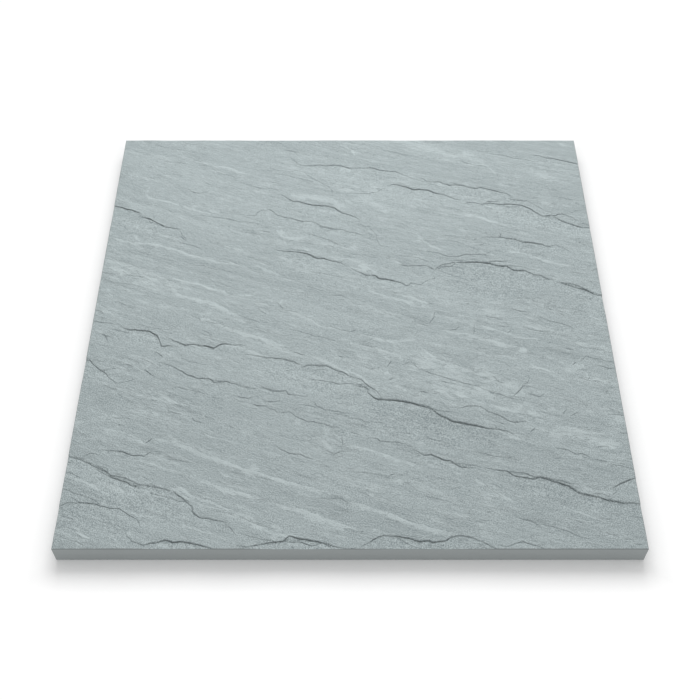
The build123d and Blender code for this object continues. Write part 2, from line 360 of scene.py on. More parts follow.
        (190, -147), (198, -151)]), (0.7, [(78, -108), (88, -110)]), (0.5, [(92, -110), (97, -110)]),
    (0.75, [(43, -92), (48, -90)]), (0.75, [(42, -73), (46, -67)]), (0.6, [(39, -58), (41, -58)]),
    (0.5, [(59, -72), (69, -66)]),
    ((0.45, 0.65, 0.45, 0.45), [(69, -67), (77, -76), (90, -83), (107, -89), (127, -96), (142, -100),
        (150, -105), (173, -114), (187, -120)]), (0.4, [(100, -93), (118, -97)]),
    (0.6, [(92, -14), (93, -10), (98, -2), (99, 5)]), (0.55, [(80, -12), (92, -16)]),
    (0.6, [(115, -22), (123, -20), (127, -16)]), (0.55, [(142, -28), (144, -23), (144, -14)]),
    (0.65, [(0, -24), (7, -21)]), (0.5, [(20, -67), (22, -70)]), (0.35, [(22, -76), (35, -76)]),
    (0.5, [(0, -142), (13, -145), (17, -148), (37, -148)]), (0.7, [(91, -149), (93, -149)]),
    (0.45, [(34, -153), (48, -155), (51, -160)]), (0.6, [(147, -77), (149, -77)]),
    ((0.9, 0.9, 0.45, 0.45), [(181, -114), (188, -107), (193, -100), (203, -101), (212, -106)]),
    (0.45, [(194, -97), (199, -95), (200, -91)]), (0.6, [(198, -110), (210, -115), (215, -111)]),
    (0.7, [(252, -72), (257, -67)]),
    ((0.7, 0.4, 0.4), [(263, -65), (269, -59), (272, -60), (290, -66), (298, -67)]),
    (0.55, [(280, -72), (292, -76), (299, -77)]), (0.65, [(247, -48), (255, -50)]),
    (0.45, [(253, -40), (267, -46), (287, -50), (299, -54)]), (0.5, [(208, -20), (228, -25)]),
    (0.7, [(173, -15), (175, -15)]), (0.7, [(178, -17), (180, -17)]), (0.65, [(228, -40), (230, -40)]),
    (0.55, [(182, -25), (186, -22)]),
    ((0.5, 0.5, 0.65, 0.5), [(220, 0), (233, -8), (247, -12), (257, -17), (260, -20)]),
    ((0.4, 0.6), [(160, -87), (165, -93), (172, -97)]), (0.5, [(159, -147), (168, -151)]),
    (0.6, [(194, -162), (200, -156)]), (0.6, [(233, -137), (237, -133)]),
    (0.55, [(242, -140), (250, -135)]), (0.5, [(284, -108), (287, -106)]),
    (0.55, [(282, -138), (299, -139)]), (0.5, [(266, -92), (269, -89)]), (0.4, [(283, -92), (290, -92)]),
    # The front third
    (0.85, [(-265, -184), (-256, -184), (-242, -186), (-232, -190), (-219, -191), (-213, -187)]),
    (0.45, [(-287, -194), (-277, -188), (-272, -188)]), (0.8, [(-219, -175), (-214, -170)]),
    (0.45, [(-197, -192), (-177, -198), (-171, -199)]),
    ((1.0, 0.85, 0.85, 0.85, 0.6, 0.75), [(-300, -191), (-287, -195), (-277, -199), (-265, -207),
        (-258, -209), (-250, -215), (-238, -217), (-222, -225), (-210, -227), (-192, -231), (-189, -233)]),
    ((0.6, 0.8, 0.8), [(-185, -232), (-183, -235), (-172, -242), (-163, -252), (-162, -257), (-155, -264),
        (-147, -265), (-126, -270)]), (0.6, [(-124, -274), (-116, -284)]),
    (0.5, [(-267, -204), (-258, -205), (-252, -214)]),
    (0.75, [(-252, -216), (-236, -222), (-228, -227), (-213, -227)]), (0.6, [(-268, -207), (-252, -216)]),
    (0.4, [(-248, -212), (-240, -214)]), (0.4, [(-217, -217), (-207, -222)]),
    (0.6, [(-187, -240), (-177, -245), (-170, -245), (-162, -253)]),
    (0.5, [(-210, -235), (-190, -240), (-185, -242)]),
    ((0.5, 0.8, 0.85, 0.9, 0.6), [(-300, -251), (-291, -247), (-275, -247), (-262, -249), (-248, -253),
        (-237, -254), (-228, -260), (-217, -267), (-213, -275)]), (0.5, [(-290, -240), (-278, -247)]),
    ((0.65, 0.45), [(-300, -230), (-283, -237), (-268, -242), (-257, -249)]),
    (0.4, [(-300, -211), (-292, -212), (-283, -217)]),
    ((0.5, 0.85, 0.75, 1.0, 1.0, 1.0), [(-227, -282), (-220, -291), (-208, -295), (-195, -292),
        (-187, -289), (-179, -292), (-170, -291), (-155, -294), (-138, -299)]),
    (0.5, [(-280, -290), (-267, -296)]),
    (0.7, [(-78, -179), (-75, -182), (-65, -188), (-53, -189), (-40, -195)]),
    (0.45, [(-78, -206), (-74, -209)]), (0.4, [(-100, -216), (-78, -222)]),
    (0.5, [(-140, -221), (-125, -227)]), (0.45, [(-33, -242), (-10, -243), (-2, -247)]),
    ((0.8, 0.8, 1.0, 1.0, 1.0), [(-114, -296), (-105, -297), (-92, -295), (-80, -292), (-68, -291),
        (-62, -285), (-47, -289), (-33, -291), (-20, -295), (-5, -299)]),
    (0.85, [(-67, -291), (-53, -291), (-38, -295), (-27, -292)]), (0.8, [(-27, -292), (-18, -298)]),
    (0.45, [(-110, -283), (-88, -289), (-70, -292)]), (0.35, [(-118, -260), (-100, -270), (-77, -277)]),
    (0.6, [(-24, -185), (-17, -189), (-8, -185), (0, -185)]), (0.5, [(-9, -168), (-7, -178)]),
    (0.5, [(-23, -166), (-21, -166)]), (0.5, [(-123, -170), (-121, -170)]), (0.55, [(0, -161), (13, -165)]),
    (0.35, [(53, -161), (68, -163)]), (0.75, [(24, -168), (30, -169), (32, -172), (43, -173), (61, -176)]),
    (0.65, [(62, -178), (67, -179)]),
    ((0.45, 0.85, 0.8, 0.8), [(67, -182), (80, -190), (87, -189), (100, -196), (107, -197), (118, -205),
        (132, -206)]), (0.4, [(111, -199), (138, -204)]), (0.55, [(79, -167), (90, -170), (100, -172)]),
    (0.5, [(15, -197), (17, -197)]), (0.55, [(41, -216), (47, -212)]),
    (0.4, [(0, -210), (30, -213), (40, -216)]), (0.45, [(107, -230), (115, -230)]),
    (0.4, [(78, -239), (98, -245)]), (0.55, [(121, -260), (123, -257)]), (0.45, [(130, -268), (140, -268)]),
    (0.45, [(142, -228), (160, -241)]),
    ((0.6, 1.0, 1.0, 0.95, 0.9, 0.9, 0.7, 0.9, 0.8, 0.9), [(10, -297), (20, -292), (23, -289), (33, -285),
        (45, -285), (57, -287), (70, -291), (80, -290), (83, -292), (97, -290), (102, -286), (113, -284),
        (125, -287), (135, -292), (148, -300)]), (0.55, [(48, -287), (57, -293), (72, -299)]),
    (0.6, [(0, -299), (5, -298)]), (0.5, [(12, -280), (14, -280)]),
    ((1.0, 1.0, 0.85, 0.8, 0.75, 0.9, 0.8), [(145, -206), (165, -209), (172, -214), (183, -217),
        (193, -219), (200, -216), (212, -221), (228, -227), (237, -235), (247, -238), (258, -240),
        (273, -246), (299, -248)]), (0.7, [(169, -210), (185, -212), (194, -217), (200, -216)]),
    (0.75, [(200, -216), (222, -222), (233, -225)]),
    ((0.85, 1.0), [(274, -230), (283, -225), (292, -220), (299, -218)]), (0.5, [(272, -239), (277, -234)]),
    (0.5, [(253, -237), (263, -237), (270, -240)]),
    (0.7, [(220, -181), (233, -184), (241, -189), (247, -189), (255, -192)]),
    (0.5, [(260, -195), (273, -199)]), ((0.45, 0.8), [(278, -201), (299, -207)]),
    (0.5, [(140, -188), (157, -192), (170, -193)]), (0.55, [(168, -194), (172, -192)]),
    (0.5, [(149, -180), (151, -180)]), (0.6, [(178, -148), (188, -147)]), (0.5, [(262, -180), (277, -179)]),
    (0.5, [(272, -166), (274, -166)]), (0.45, [(290, -162), (299, -163)]),
    (0.65, [(174, -265), (185, -268), (192, -273)]),
    (0.5, [(197, -272), (220, -279), (233, -286), (242, -289)]), (0.4, [(190, -259), (199, -259)]),
    (0.45, [(232, -268), (240, -271)]),
    ((0.65, 0.65, 0.85, 0.65), [(150, -295), (158, -297), (165, -294), (175, -291), (188, -296),
        (195, -299)]), (0.5, [(260, -282), (268, -284)]), (0.45, [(275, -288), (285, -290)]),
    (0.5, [(288, -294), (295, -294)]),
)]

# The worn, highlit edges
# Each is a layer's edge that faces the back of the slab and the lamp, worn pale and painted paler still
# as a highlight. Strength is how pale.
worn_highlit_edges = [Trace(*row) for row in (
    # From the back edge to the rear third
    (0.6, [(-258, 212), (-260, 203), (-260, 196), (-255, 192), (-233, 186), (-218, 180), (-215, 175),
        (-210, 177), (-203, 173), (-193, 172), (-187, 168), (-168, 161), (-162, 160)], 2),
    (0.4, [(-200, 177), (-197, 181), (-190, 179)], 1.5), (0.45, [(-265, 228), (-260, 222)], 2),
    (0.6, [(-193, 257), (-183, 255), (-177, 250), (-167, 250), (-155, 246), (-143, 239), (-127, 237)], 2),
    (0.4, [(-95, 200), (-88, 202), (-85, 205)], 1.5), (0.5, [(-135, 170), (-133, 163), (-131, 159)], 2),
    (0.7, [(-8, 290), (-3, 285), (0, 282)], 2), (0.8, [(1, 285), (4, 277), (7, 270)], 1.2),
    (0.4, [(10, 267), (25, 262), (38, 259), (48, 253), (58, 250)], 4), (0.5, [(81, 268), (83, 268)], 2),
    (0.8, [(180, 250), (185, 245), (190, 237)], 1.2),
    (0.55, [(140, 168), (162, 160), (187, 148), (210, 142)], 3), (0.5, [(278, 295), (295, 287)], 2),
    (0.4, [(195, 220), (198, 218)], 2),
    # The rear third to the middle
    ((0.9, 0.9, 0.7, 0.6), [(-300, 127), (-280, 118), (-270, 115), (-250, 114), (-233, 111), (-217, 105),
        (-197, 95), (-183, 91), (-160, 84), (-143, 81), (-127, 77), (-112, 76), (-98, 69), (-92, 67),
        (-83, 61), (-69, 52)], 2.5),
    ((0.7, 0.5), [(-260, 134), (-242, 131), (-227, 126), (-220, 125), (-215, 119), (-210, 115)], 2),
    (0.5, [(-267, 145), (-263, 137)], 2), (0.6, [(-265, 132), (-265, 125), (-260, 116)], 1.5),
    (0.4, [(-300, 89), (-283, 82), (-275, 76)], 2), (0.6, [(-287, 71), (-277, 70), (-274, 67)], 2),
    (0.5, [(-233, 65), (-232, 60), (-227, 58)], 2),
    (0.8, [(-213, 58), (-200, 53), (-183, 49), (-165, 42), (-158, 39)], 2.5),
    (0.5, [(-155, 38), (-140, 32)], 2), (0.5, [(-208, 50), (-200, 50)], 2),
    (0.4, [(-227, 50), (-223, 43)], 1.5),
    (0.85, [(-215, 47), (-207, 37), (-202, 32), (-190, 27), (-168, 22), (-155, 15), (-143, 7),
        (-130, 1)], 4), (0.4, [(-197, 18), (-187, 18)], 2), (0.5, [(-197, 13), (-196, 9)], 1.5),
    (0.5, [(-177, 3), (-162, 5)], 2), (0.6, [(-177, 2), (-173, -1), (-172, -8)], 2),
    (0.5, [(-168, -2), (-162, -7)], 2), (0.6, [(-290, 41), (-285, 39)], 2),
    (0.45, [(-270, 33), (-260, 29), (-245, 22), (-237, 17)], 2),
    (0.6, [(-293, 8), (-278, 2), (-270, -2), (-260, -8)], 2), (0.5, [(-147, 63), (-141, 59)], 2),
    (0.4, [(-173, 114), (-157, 111)], 2), (0.4, [(-67, 50), (-50, 50), (-47, 47), (-33, 42)], 2),
    (0.5, [(-160, 40), (-155, 37)], 2),
    (0.6, [(-150, 38), (-138, 32), (-122, 31), (-115, 31), (-112, 35)], 2),
    (0.6, [(-101, 26), (-88, 22)], 2), (0.7, [(-79, 10), (-60, 2), (-45, -7)], 2),
    (0.55, [(-93, 137), (-85, 128), (-80, 120), (-78, 110)], 2), (0.5, [(-87, 135), (-80, 132)], 2),
    (0.6, [(-80, 124), (-65, 123), (-50, 128)], 4), (0.5, [(-91, 120), (-85, 121)], 2),
    (0.4, [(-45, 114), (-27, 111)], 2), (0.45, [(-160, 111), (-140, 106), (-130, 102)], 2),
    (0.5, [(-77, 77), (-67, 72), (-43, 67)], 2), (0.4, [(-43, 62), (-22, 57)], 2),
    (0.4, [(-100, 144), (-80, 142)], 2), (0.5, [(-110, 0), (-93, -6)], 2),
    (0.7, [(86, 127), (91, 119), (103, 109), (115, 102)], 3), (0.6, [(13, 80), (25, 72), (40, 60)], 4),
    (0.55, [(22, 38), (43, 30), (67, 22), (77, 19)], 3), (0.4, [(63, 30), (77, 25), (95, 17)], 2),
    (0.4, [(122, 125), (138, 120)], 2), (0.6, [(190, 103), (210, 99), (230, 90), (250, 82), (267, 77)], 3),
    (0.5, [(247, 106), (251, 107)], 2), (0.5, [(173, 97), (177, 94)], 2),
    (0.4, [(188, 148), (197, 147)], 2), (0.4, [(150, 118), (155, 112)], 2),
    (0.5, [(202, 1), (210, -3), (220, -8)], 2), (0.45, [(240, 15), (248, 12)], 2),
    # The middle to the front third
    (0.4, [(-280, 0), (-262, -8)], 2), (0.5, [(-155, -35), (-150, -39)], 2),
    (0.55, [(-173, -3), (-157, -11), (-150, -14)], 2), (0.5, [(-217, -67), (-207, -57), (-204, -52)], 1.5),
    (0.5, [(-232, -77), (-230, -73)], 2), (0.4, [(-220, -102), (-218, -98), (-218, -85)], 1.5),
    (0.4, [(-270, -103), (-253, -111), (-243, -118), (-232, -117), (-231, -112)], 2),
    (0.4, [(-220, -117), (-215, -109)], 2), (0.4, [(-210, -112), (-197, -120), (-185, -128)], 2),
    (0.4, [(-300, -128), (-267, -138), (-237, -145)], 4), (0.4, [(-240, -143), (-220, -157)], 2),
    (0.5, [(-300, -148), (-292, -150)], 2),
    ((0.4, 0.6, 0.5), [(-160, -10), (-142, -18), (-120, -27), (-90, -37), (-73, -47)], 5),
    (0.4, [(-115, -50), (-97, -58)], 6), (0.6, [(-77, -10), (-53, -20)], 2),
    (0.6, [(-57, 0), (-38, -12), (-35, -16), (-17, -18), (0, -22)], 2), (0.4, [(-69, -21), (-53, -29)], 2),
    (0.75, [(-37, -26), (-32, -26)], 2), (0.5, [(-12, -33), (0, -37)], 2),
    (0.6, [(-43, -58), (-20, -70), (-2, -83)], 3), (0.6, [(-58, -70), (-53, -72)], 2),
    (0.4, [(-143, -76), (-133, -80)], 2), (0.45, [(-47, -86), (-37, -87), (-22, -92)], 2),
    (0.45, [(-88, -150), (-73, -157)], 2), (0.7, [(0, -80), (12, -87), (21, -97), (30, -100)], 2),
    (0.7, [(30, -101), (30, -107), (33, -113)], 2), (0.6, [(5, -25), (33, -34), (50, -39)], 2),
    (0.5, [(40, -36), (73, -37)], 2), (0.4, [(0, -42), (17, -49), (28, -50), (38, -57), (58, -61)], 2),
    (0.6, [(40, -58), (46, -67)], 2), (0.5, [(42, -78), (43, -83), (47, -87)], 2),
    (0.6, [(73, -40), (88, -52), (98, -63), (117, -72), (133, -77)], 3),
    (0.5, [(50, -97), (63, -108), (67, -110)], 2),
    (0.5, [(93, -105), (113, -110), (133, -117), (153, -127)], 2), (0.5, [(110, -23), (137, -27)], 2),
    (0.6, [(137, -28), (160, -36), (190, -46), (207, -50)], 4),
    (0.5, [(220, -57), (240, -67), (243, -72)], 2), (0.4, [(267, -83), (268, -91)], 2),
    (0.65, [(207, -72), (230, -82)], 2), (0.45, [(232, -88), (243, -93)], 2),
    (0.6, [(150, -14), (173, -22), (200, -32), (218, -35)], 3), (0.4, [(278, 0), (298, -8)], 2),
    (0.5, [(233, -30), (257, -36), (283, -45), (297, -48)], 5),
    (0.4, [(190, -105), (213, -108), (223, -110)], 2), (0.5, [(140, -120), (162, -128), (192, -140)], 2),
    (0.5, [(192, -147), (198, -152)], 2), (0.45, [(220, -130), (230, -135)], 2),
    (0.5, [(277, -142), (288, -152)], 2), (0.4, [(273, -89), (290, -93)], 2),
    # The front third
    (0.55, [(-300, -161), (-282, -162)], 2),
    (0.55, [(-267, -156), (-235, -165), (-222, -175), (-219, -178)], 2),
    (0.85, [(-210, -170), (-193, -172), (-173, -180), (-153, -190), (-133, -198), (-113, -207), (-97, -211),
        (-80, -217), (-60, -224), (-37, -231), (-17, -236), (0, -241)], 3),
    (0.85, [(3, -245), (20, -253), (38, -259), (55, -267), (83, -277), (107, -283)], 3),
    (0.5, [(-227, -195), (-200, -205), (-183, -211)], 2), (0.5, [(-218, -182), (-213, -185)], 2),
    (0.8, [(-165, -215), (-163, -215)], 2), (0.45, [(-160, -220), (-147, -225), (-140, -227)], 2),
    (0.85, [(-187, -230), (-178, -230), (-162, -240), (-140, -248), (-122, -257), (-100, -265),
        (-97, -269)], 3.5), (0.65, [(-177, -237), (-153, -249), (-130, -256)], 2),
    (0.5, [(-300, -213), (-278, -222), (-258, -233), (-250, -237)], 2),
    (0.5, [(-250, -225), (-242, -232)], 2), (0.7, [(-242, -228), (-234, -236)], 2),
    (0.5, [(-240, -247), (-238, -242)], 2), (0.9, [(-255, -245), (-253, -245)], 2),
    (0.55, [(-267, -260), (-250, -270)], 2), (0.4, [(-280, -262), (-268, -259), (-264, -255)], 2),
    (0.6, [(-282, -272), (-272, -283), (-257, -292)], 2),
    (0.4, [(-251, -272), (-240, -285), (-228, -298)], 2),
    (0.45, [(-142, -207), (-127, -217), (-120, -219)], 2), (0.6, [(-140, -220), (-124, -227)], 2),
    (0.55, [(-153, -220), (-143, -226), (-125, -232), (-107, -237), (-90, -241)], 4),
    ((0.5, 0.8, 0.6), [(-87, -244), (-77, -249), (-50, -255), (-30, -264), (-5, -273), (8, -280),
        (22, -287)], 4), (0.7, [(-35, -258), (-32, -263)], 2),
    (0.6, [(-110, -264), (-90, -276), (-77, -283), (-58, -284), (-50, -287)], 3),
    (0.5, [(-82, -272), (-60, -282)], 2), (0.55, [(-28, -173), (-18, -183)], 2),
    (0.5, [(-160, -175), (-155, -180)], 2), (0.55, [(0, -177), (22, -184), (40, -191), (72, -203)], 4),
    (0.85, [(50, -219), (57, -224)], 2), (0.45, [(13, -237), (30, -242)], 2),
    (0.5, [(40, -243), (54, -250)], 2), (0.4, [(22, -278), (33, -277)], 2),
    (0.75, [(132, -220), (145, -229), (160, -240), (173, -248)], 2.5), (0.45, [(70, -204), (90, -207)], 2),
    (0.4, [(107, -212), (123, -213)], 2), (0.6, [(108, -259), (118, -265)], 2),
    (0.55, [(130, -270), (135, -273)], 2), (0.4, [(87, -232), (100, -237)], 2),
    (0.4, [(72, -172), (80, -176)], 2), (0.8, [(280, -180), (285, -180)], 2),
    (0.6, [(280, -143), (288, -150)], 2), (0.4, [(193, -147), (203, -156)], 2),
    (0.55, [(170, -165), (190, -173), (200, -177)], 2),
    (0.6, [(220, -252), (240, -259), (260, -269), (270, -273)], 2),
    (0.5, [(162, -250), (182, -258), (198, -258)], 2), (0.5, [(232, -217), (236, -221)], 2),
    (0.4, [(245, -226), (248, -232)], 2),
)]

# The stained beds
# Each is a soft band where another layer shows. Strength is how pale, or how dark if negative.
beds = [Trace(*row) for row in (
    # From the back edge to the rear third
    (-0.25, [(-225, 277), (-205, 270), (-187, 265)], 2),
    (0.5, [(-70, 198), (-53, 193), (-30, 187), (-7, 178)], 5), (0.5, [(-8, 294), (-2, 292)], 3),
    (0.5, [(67, 297), (78, 290), (93, 287), (100, 282), (113, 282), (127, 272), (138, 268), (150, 270),
        (160, 265)], 6), (0.35, [(150, 280), (165, 268), (180, 252)], 4),
    (0.5, [(230, 238), (250, 232), (272, 225)], 5), (0.3, [(213, 196), (217, 194)], 6),
    (0.3, [(10, 193), (33, 182), (50, 167)], 3),
    # The rear third to the middle
    (-0.35, [(-283, 110), (-245, 96)], 6), (-0.4, [(-228, 93), (-162, 75)], 4),
    (-0.3, [(-300, 56), (-233, 35)], 5), (-0.45, [(-135, 5), (-127, 0), (-115, -5)], 2),
    (-0.2, [(-150, 62), (-60, 52)], 12), (-0.3, [(32, 35), (55, 27), (70, 20)], 3),
    (0.3, [(-290, 62), (-215, 52)], 12), (0.5, [(-278, 40), (-272, 40)], 3),
    (0.3, [(-237, 17), (-200, 7)], 3), (0.75, [(-85, 20), (-81, 18)], 3), (0.5, [(3, 108), (7, 108)], 5),
    (0.5, [(158, 6), (178, 5)], 4), (0.5, [(224, 14), (230, 14)], 5),
    # The middle to the front third
    (-0.45, [(-228, -76), (-213, -78)], 3), (-0.35, [(-300, -113), (-260, -124)], 4),
    (-0.5, [(-237, -129), (-213, -129)], 3), (-0.4, [(-300, -142), (-267, -148)], 5),
    (-0.4, [(-247, -153), (-230, -157)], 3), (-0.35, [(-160, -115), (-143, -120)], 4),
    (-0.35, [(-160, -50), (-118, -57)], 6), (-0.35, [(-120, -66), (-60, -74)], 6),
    (-0.8, [(-60, -77), (-50, -79), (-43, -77)], 2), (-0.5, [(-43, -84), (-4, -90)], 5),
    (-0.45, [(-107, -7), (-80, -15)], 3), (-0.55, [(57, -128), (113, -148)], 8),
    (-0.3, [(45, -67), (70, -67)], 8), (-0.35, [(0, -22), (66, -36)], 5),
    (-0.3, [(43, -17), (103, -28)], 5), (-0.5, [(100, -57), (143, -73)], 6),
    (-0.4, [(150, -18), (195, -33), (220, -37)], 6), (-0.35, [(240, -55), (266, -55)], 6),
    (-0.3, [(282, -121), (298, -122)], 8), (-0.3, [(222, -146), (250, -146)], 8),
    (-0.35, [(255, -144), (282, -147)], 8), (0.55, [(-253, -30), (-247, -30)], 4),
    (0.4, [(-193, -35), (-167, -41)], 5), (0.3, [(-230, -68), (-210, -68)], 5),
    (0.3, [(-193, -75), (-150, -89)], 6), (0.45, [(-266, -90), (-260, -90)], 4),
    (0.4, [(33, -52), (37, -52)], 4), (0.5, [(73, -60), (90, -72)], 6), (0.6, [(72, -115), (86, -115)], 3),
    (0.5, [(140, -76), (162, -88)], 7), (0.5, [(196, -54), (202, -54)], 4),
    (0.7, [(243, -78), (265, -75)], 5), (0.4, [(277, -55), (296, -55)], 5),
    (0.6, [(177, -97), (188, -97)], 5), (0.6, [(258, -135), (267, -136)], 2.5),
    (0.5, [(288, -146), (299, -146)], 4),
    # The front third
    # Two broad pale stretches, by brightness and not traced: the middle of the photo is paler
    (0.14, [(-100, 250), (100, 180)], 80), (0.14, [(-60, 70), (150, 0)], 70),
    # The traced ones go on
    (0.32, [(0, -50), (60, -72), (120, -98), (200, -135), (299, -170)], 22),
    (-0.42, [(10, -122), (96, -150), (192, -186), (270, -232)], 20),
    (-0.34, [(-270, -60), (-180, -100), (-100, -125)], 30), (-0.4, [(-98, -202), (-60, -209)], 2),
    (-0.35, [(-88, -210), (-43, -214)], 6), (-0.4, [(150, -167), (160, -167)], 3),
    (-0.45, [(130, -183), (150, -190)], 3), (-0.4, [(63, -212), (117, -221)], 3),
    (-0.45, [(0, -233), (67, -262)], 6), (-0.25, [(100, -275), (133, -275)], 6),
    (-0.5, [(150, -165), (183, -176), (210, -185), (228, -186)], 4),
    (-0.5, [(250, -203), (280, -213), (299, -216)], 4), (-0.4, [(291, -167), (299, -167)], 4),
    (-0.5, [(182, -250), (202, -255)], 4), (-0.4, [(289, -263), (298, -264)], 6),
    (-0.25, [(255, -275), (299, -275)], 18), (0.6, [(-106, -207), (-95, -208)], 4),
    (0.45, [(-228, -282), (-222, -282)], 4), (0.5, [(-120, -158), (-102, -166)], 4),
    (0.35, [(0, -223), (33, -232)], 6), (0.4, [(138, -243), (146, -243)], 4),
    (0.6, [(223, -157), (247, -161), (268, -172), (290, -178)], 4), (0.5, [(215, -170), (228, -173)], 8),
    (0.6, [(289, -212), (295, -213)], 3), (0.35, [(252, -232), (262, -232)], 5),
    (0.4, [(231, -204), (239, -204)], 3),
)]

# The scaly patches, where several thin layers broke off together: the middle, then half the size
scaly_patches = [
    (230, 15, 32, 12), (-205, -127, 42, 28), (215, -19, 16, 10), (-20, -176, 24, 18),
    (82, -66, 14, 11), (79, -115, 10, 6), (151, -82, 16, 12), (-252, 57, 48, 14),
    (-278, -290, 22, 12), (253, -231, 15, 10), (256, -168, 36, 10),
]

# Bedding
# The layers meet the face along lines that fall towards the front right, more steeply on the left.
bedding_slope = 0.315
bedding_bend = 0.145


def across_bedding(x, y):
    """Where the bedding line through a point crosses x = 0, for arrays or for shader values."""
    return y + x * (bedding_slope - bedding_bend * x)


def smooth(share):
    """0 up to 0, 1 from 1, and an S curve between."""
    share = share.clip(0, 1)
    return share * share * (3 - 2 * share)


def fading(run):
    """1 midway along a line, and 0 at its ends."""
    return np.sqrt(np.sin(math.pi * run).clip(0, 1))


cad_face = bmesh.new()
cad_face.from_mesh(cad_slab.data)
cad_tree = bvhtree.BVHTree.FromBMesh(cad_face)
cad_face.free()


noise.seed_set(1)  # noise_vector takes its offsets from the seed


def wandered(x, y):
    """The same points, pushed about a little, so that a straight run of ledge comes out ragged."""
    pushed = np.empty((len(x), 2))
    for i, place in enumerate(zip(x, y)):
        push = noise.noise_vector(Vector((*place, 0.0)) / (9 * mm)) * 0.9 * mm
        pushed[i] = place[0] + push.x, place[1] + push.y
    return pushed[:, 0], pushed[:, 1]


def scar_depth(x, y):
    """How far below the top the large flake scars of the CAD take the face."""
    above = slab_high.z + 10 * mm
    inside = half_side - 1.2 * arris
    depth = np.empty(len(x))
    for i, place in enumerate(zip(x.clip(-inside, inside), y.clip(-inside, inside))):
        hit = cad_tree.ray_cast(Vector((*place, above)), Vector((0, 0, -1)))[0]
        depth[i] = slab_high.z - hit.z
    return depth


def ledge_depth(x, y):
    """How far the small ledges and the open clefts take it down as well."""
    depth = np.zeros(len(x))
    for ledge in ledges:
        reach = 14 * mm
        which, ahead, run, strength = ledge.near(x, y, reach)
        ends = fading(run)
        step = smooth(ahead / (0.5 * mm)) * (1 - ahead.clip(0, None) / reach) ** 1.5
        cleft = np.exp(-(((ahead - 0.4 * mm) / (0.6 * mm)) ** 2)) * (0.3 + 0.7 * ends)
        drop = (0.10 + 0.25 * strength) * step * ends + 0.5 * strength * cleft
        np.maximum.at(depth, which, drop * mm)
    return depth


def layer_depth(x, y):
    """How far below the top the layers themselves lie: slow swells, terraces, ribs and worn edges."""
    depth = np.empty(len(x))
    across = across_bedding(x, y)
    for i in range(len(x)):
        swell = noise.noise(Vector((x[i] / 0.21, y[i] / 0.12, 0.3)))
        layer = noise.fractal(Vector((x[i] / 0.085, across[i] / 0.017, 1.7)), 0.7, 2.1, 3) * 3.0
        level = math.floor(layer)
        edge = min(max((layer - level - 0.25) / 0.5, 0.0), 1.0)
        rib = noise.noise(Vector((x[i] / 0.05, across[i] / 0.007, 4.1)))
        terrace = level + edge * edge * (3 - 2 * edge)
        depth[i] = (0.5 - 0.24 * swell - 0.11 * terrace - 0.06 * rib) * mm
    for worn_highlit_edge in worn_highlit_edges:
        reach = 26 * mm
        which, ahead, run, strength = worn_highlit_edge.near(x, y, reach)
        rise = smooth(0.5 + ahead / (2 * worn_highlit_edge.width)) * (1 - ahead.clip(0, None) / reach) ** 1.5
        depth[which] -= 0.32 * strength * rise * fading(run) * mm
    return depth


def places(parts):
    co = np.array(parts)
    return co[:, 0], co[:, 1]


bm = bmesh.new()
cells = round(2 * half_side / cell)
bmesh.ops.create_grid(bm, x_segments=cells, y_segments=cells, size=half_side - arris)

# The mesh is divided once where any ledge runs, and again where a dark one does
for reach, darkest, palest in ((2.8 * mm, 0.0, 0.45), (1.2 * mm, 0.34, 0.80)):
    x, y = wandered(*places([face.calc_center_median() for face in bm.faces]))
    cut = np.zeros(len(x), bool)
    for ledge in ledges:
        which, ahead, run, strength = ledge.near(x, y, reach)
        cut[which[strength > darkest]] = True
    for worn_highlit_edge in worn_highlit_edges:
        which, ahead, run, strength = worn_highlit_edge.near(x, y, reach)
        cut[which[strength > palest]] = True
    edges = [edge for face, divided in zip(list(bm.faces), cut) if divided for edge in face.edges]
    edges = list(dict.fromkeys(edges))  # each once, in an order that is the same in every run
    bmesh.ops.subdivide_edges(bm, edges=edges, cuts=1, use_grid_fill=True)

face_x, face_y = places([vert.co for vert in bm.verts])
x, y = wandered(face_x, face_y)
depth = scar_depth(x, y) + ledge_depth(x, y) + layer_depth(x, y)
depth = (depth - np.percentile(depth, 5)).clip(0, None)  # the highest twentieth is level with the top


# What the stone's surface shows at each point: how far in front of the nearest ledge and worn, highlit
# edge it lies, in millimetres, how strong they are there, and how stained and how scaly it is
def nearest(traces, x, y, reach):
    """The distance in front of the nearest line, and its strength, which fades to its ends."""
    distance, strongest = np.full(len(x), reach), np.zeros(len(x))
    for trace in traces:
        which, ahead, run, strength = trace.near(x, y, reach)
        nearer = np.abs(ahead) < np.abs(distance[which])
        ends = 0.4 + 0.6 * fading(run)
        width = np.where(ahead > 0, 1.4 * trace.width, 2.5 * mm)
        faded = strength * ends * np.exp(-((ahead / width) ** 2))
        distance[which[nearer]] = ahead[nearer]
        strongest[which[nearer]] = faded[nearer]
    return distance / mm, strongest


# How much shade is painted at the foot of the nearest ledge, as strong as the ledge there
before_ledge, painted_ledge_shade = nearest(ledges, x, y, 6 * mm)
before_worn_highlit_edge, worn_and_highlit = nearest(worn_highlit_edges, x, y, 16 * mm)
stained, scaly = np.zeros(len(x)), np.zeros(len(x))
for bed in beds:
    which, ahead, run, strength = bed.near(x, y, 3 * bed.width)
    ends = 0.3 + 0.7 * fading(run)
    np.add.at(stained, which, strength * ends * np.exp(-((ahead / bed.width) ** 2)))
for middle_x, middle_y, half_x, half_y in scaly_patches:
    level = across_bedding(middle_x * mm, middle_y * mm)
    off = ((x / mm - middle_x) / half_x) ** 2 + ((across_bedding(x, y) - level) / mm / half_y) ** 2
    scaly = np.maximum(scaly, np.exp(-(off**2)))

